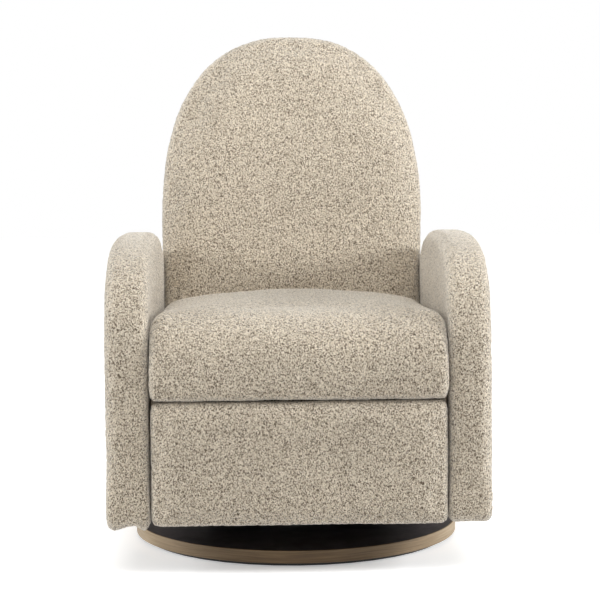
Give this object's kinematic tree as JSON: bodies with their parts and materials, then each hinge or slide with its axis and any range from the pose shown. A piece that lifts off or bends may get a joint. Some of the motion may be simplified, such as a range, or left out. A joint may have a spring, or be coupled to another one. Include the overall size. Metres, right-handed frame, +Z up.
{
  "type": "glider nursery chair",
  "caption": "Upholstered arch-back recliner that swivels and glides on a round wooden base, with a folding padded footrest and push-button controls.",
  "frame": {"origin": "on the floor under the swivel axis, at the centre of the chair's footprint", "axes": "+Z up, -Y is the front that the sitter faces, +X is to the right seen from the front"},
  "size_m": [0.7552, 0.8212, 1.0877],
  "materials": {
    "boucle": "looped boucle, warm beige with darker flecks",
    "light_wood": "matt lacquered bent wood, grain along the band",
    "black_top": "satin black laminate",
    "felt": "needled felt",
    "plywood": "sawn plywood",
    "dark_steel": "black powder coat",
    "bright_steel": "zinc plated",
    "black_plastic": "fine moulded texture",
    "button_plastic": "satin grey"
  },
  "bodies": {
    "base": {"floor_pad": "felt", "base_disc": "black_top", "base_band": "light_wood", "swivel_lower_race": "bright_steel", "swivel_king_pin": "bright_steel"},
    "turntable": {"swivel_ball_ring": "bright_steel", "swivel_upper_race": "bright_steel", "turntable_plate": "dark_steel", "glider_stand_left": "dark_steel", "glider_stand_right": "dark_steel"},
    "glide_front_links": {"glide_link_front_left": "bright_steel", "glide_link_front_right": "bright_steel"},
    "glide_rear_links": {"glide_link_rear_left": "bright_steel", "glide_link_rear_right": "bright_steel"},
    "carriage": {"carriage_plate_left": "dark_steel", "carriage_plate_right": "dark_steel", "seat_rail_left": "plywood", "seat_rail_right": "plywood", "rear_crossbar": "dark_steel", "front_cross_tube": "dark_steel", "seat_front_board": "plywood", "seat_rear_board": "plywood", "seat_spring_1": "bright_steel", "seat_spring_2": "bright_steel", "seat_spring_3": "bright_steel", "seat_spring_4": "bright_steel", "seat_spring_5": "bright_steel", "seat_cushion": "boucle", "arm_pad_left": "boucle", "arm_pad_right": "boucle", "arm_frame_left": "plywood", "arm_frame_right": "plywood", "rear_panel": "boucle", "control_housing": "black_plastic", "control_box": "black_plastic", "power_inlet": "black_plastic", "actuator_housing": "black_plastic", "actuator_motor": "dark_steel"},
    "open_button": {"open_button": "button_plastic"},
    "close_button": {"close_button": "button_plastic"},
    "footrest_drive": {"footrest_drive_link_left": "dark_steel", "footrest_drive_link_right": "dark_steel", "footrest_torque_shaft": "bright_steel", "footrest_crank": "dark_steel"},
    "footrest_rear_links": {"footrest_rear_link_left": "dark_steel", "footrest_rear_link_right": "dark_steel"},
    "footrest_long_links": {"footrest_long_link_left": "dark_steel", "footrest_long_link_right": "dark_steel"},
    "footrest_short_links": {"footrest_short_link_left": "dark_steel", "footrest_short_link_right": "dark_steel"},
    "footrest_panel": {"footrest_bracket_left": "dark_steel", "footrest_bracket_right": "dark_steel", "footrest_board": "plywood", "footrest_pad": "boucle"},
    "actuator_rod": {"actuator_rod": "bright_steel"},
    "back": {"back_pad": "boucle", "back_frame": "plywood", "back_bracket_left": "dark_steel", "back_bracket_right": "dark_steel"}
  },
  "joints": [
    {"name": "swivel", "type": "hinge", "parent": "base", "child": "turntable", "pos_m": [0, 0, 0.045], "axis": [0, 0, 1], "continuous": true},
    {"name": "glide", "type": "hinge", "parent": "turntable", "child": "glide_front_links", "pos_m": [0, -0.14, 0.2], "axis": [1, 0, 0], "range_deg": [-24, 24]},
    {"name": "glide_seat", "type": "hinge", "parent": "glide_front_links", "child": "carriage", "pos_m": [0, -0.14, 0.09], "axis": [1, 0, 0], "range_deg": [-25, 25]},
    {"name": "glide_rear", "type": "hinge", "parent": "turntable", "child": "glide_rear_links", "pos_m": [0, 0.14, 0.2], "axis": [1, 0, 0], "range_deg": [-25, 25]},
    {"name": "back_recline", "type": "hinge", "parent": "carriage", "child": "back", "pos_m": [0, 0.208, 0.382], "axis": [-1, 0, 0], "range_deg": [0, 32]},
    {"name": "footrest", "type": "hinge", "parent": "carriage", "child": "footrest_drive", "pos_m": [0, -0.3125, 0.304], "axis": [-1, 0, 0], "range_deg": [0, 102.6]},
    {"name": "footrest_rear_pivot", "type": "hinge", "parent": "carriage", "child": "footrest_rear_links", "pos_m": [0, -0.2245, 0.255], "axis": [-1, 0, 0], "range_deg": [-2, 101]},
    {"name": "footrest_crossing_pivot", "type": "hinge", "parent": "footrest_drive", "child": "footrest_long_links", "pos_m": [0, -0.239, 0.197], "axis": [-1, 0, 0], "range_deg": [-104, 2]},
    {"name": "footrest_short_pivot", "type": "hinge", "parent": "footrest_drive", "child": "footrest_short_links", "pos_m": [0, -0.2345, 0.1325], "axis": [-1, 0, 0], "range_deg": [-105, 2]},
    {"name": "footrest_panel_pivot", "type": "hinge", "parent": "footrest_long_links", "child": "footrest_panel", "pos_m": [0, -0.3445, 0.297], "axis": [-1, 0, 0], "range_deg": [-2, 101]},
    {"name": "actuator_stroke", "type": "slide", "parent": "carriage", "child": "actuator_rod", "axis": [0, -1, 0], "range_m": [-0.002, 0.1155]},
    {"name": "open_button_press", "type": "slide", "parent": "carriage", "child": "open_button", "axis": [-1, 0, 0], "range_m": [0, 0.0015], "stiffness_N_per_m": 900, "springref_m": -0.0008},
    {"name": "close_button_press", "type": "slide", "parent": "carriage", "child": "close_button", "axis": [-1, 0, 0], "range_m": [0, 0.0015], "stiffness_N_per_m": 900, "springref_m": -0.0008}
  ],
  "couplings": [
    {"joint": "glide_seat", "follows": "glide", "ratio": -1},
    {"joint": "glide_rear", "follows": "glide", "ratio": 1},
    {"joint": "footrest_rear_pivot", "follows": "footrest", "ratio": 0.9671},
    {"joint": "footrest_crossing_pivot", "follows": "footrest", "ratio": -0.99171},
    {"joint": "footrest_short_pivot", "follows": "footrest", "ratio": -1.0025},
    {"joint": "footrest_panel_pivot", "follows": "footrest", "ratio": 0.95889},
    {"joint": "actuator_stroke", "follows": "footrest", "m_per_rad": 0.06321}
  ]
}
